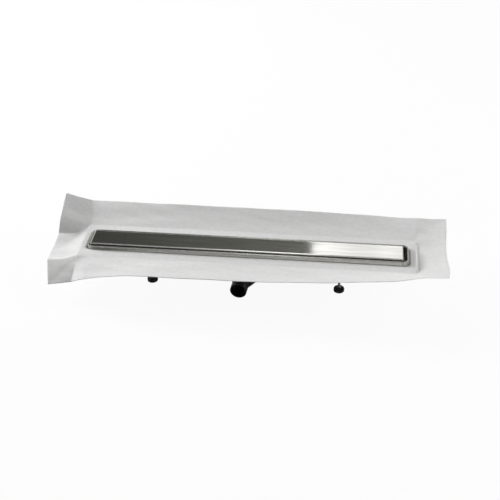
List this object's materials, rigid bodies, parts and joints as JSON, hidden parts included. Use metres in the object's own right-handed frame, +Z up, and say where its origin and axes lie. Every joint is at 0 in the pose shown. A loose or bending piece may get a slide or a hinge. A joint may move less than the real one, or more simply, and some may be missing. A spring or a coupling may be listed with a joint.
{
  "type": "linear floor drain channel",
  "caption": "Linear shower drain: steel channel with a solid cover plate, bonded fleece sealing collar, plastic trap with a horizontal outlet, and levelling feet.",
  "frame": {"origin": "on the ground under the middle of the channel, at the centre of the bounding box's base", "axes": "+X along the channel, the outlet leaves towards -Y and slightly towards -X, +Z up"},
  "size_m": [1.2138, 0.3845, 0.157],
  "materials": {
    "steel": "satin",
    "zinc": "zinc plated",
    "fleece": "non-woven fleece",
    "black_plastic": "moulded satin",
    "light_plastic": "moulded satin",
    "rubber": "matte"
  },
  "bodies": {
    "drain": {"cover_plate": "steel", "cover_straps": "steel", "strap_tips": "rubber", "well_wall_front": "steel", "well_wall_back": "steel", "well_end_left": "steel", "well_end_right": "steel", "well_sump": "steel", "well_floor_left": "steel", "well_floor_right": "steel", "outlet_collar": "steel", "flange_front": "steel", "flange_back": "steel", "flange_left": "steel", "flange_right": "steel", "membrane_front": "fleece", "membrane_back": "fleece", "membrane_left": "fleece", "membrane_right": "fleece", "trap_body": "black_plastic", "socket_seal": "rubber", "seal_retainer": "black_plastic", "trap_insert": "light_plastic", "insert_o_ring": "rubber", "hair_strainer": "steel", "cross_bar_left": "steel", "cross_bar_right": "steel", "bar_top_nuts": "zinc", "bar_lower_nuts": "zinc"},
    "foot_front_left": {"foot_rod_front_left": "zinc", "foot_nut_front_left": "zinc", "foot_pad_front_left": "black_plastic"},
    "foot_front_right": {"foot_rod_front_right": "zinc", "foot_nut_front_right": "zinc", "foot_pad_front_right": "black_plastic"},
    "foot_back_left": {"foot_rod_back_left": "zinc", "foot_nut_back_left": "zinc", "foot_pad_back_left": "black_plastic"},
    "foot_back_right": {"foot_rod_back_right": "zinc", "foot_nut_back_right": "zinc", "foot_pad_back_right": "black_plastic"}
  },
  "joints": [
    {"name": "level_front_left", "type": "slide", "parent": "drain", "child": "foot_front_left", "axis": [0, 0, 1], "range_m": [-0.01, 0.006]},
    {"name": "level_front_right", "type": "slide", "parent": "drain", "child": "foot_front_right", "axis": [0, 0, 1], "range_m": [-0.01, 0.006]},
    {"name": "level_back_left", "type": "slide", "parent": "drain", "child": "foot_back_left", "axis": [0, 0, 1], "range_m": [-0.01, 0.006]},
    {"name": "level_back_right", "type": "slide", "parent": "drain", "child": "foot_back_right", "axis": [0, 0, 1], "range_m": [-0.01, 0.006]}
  ]
}
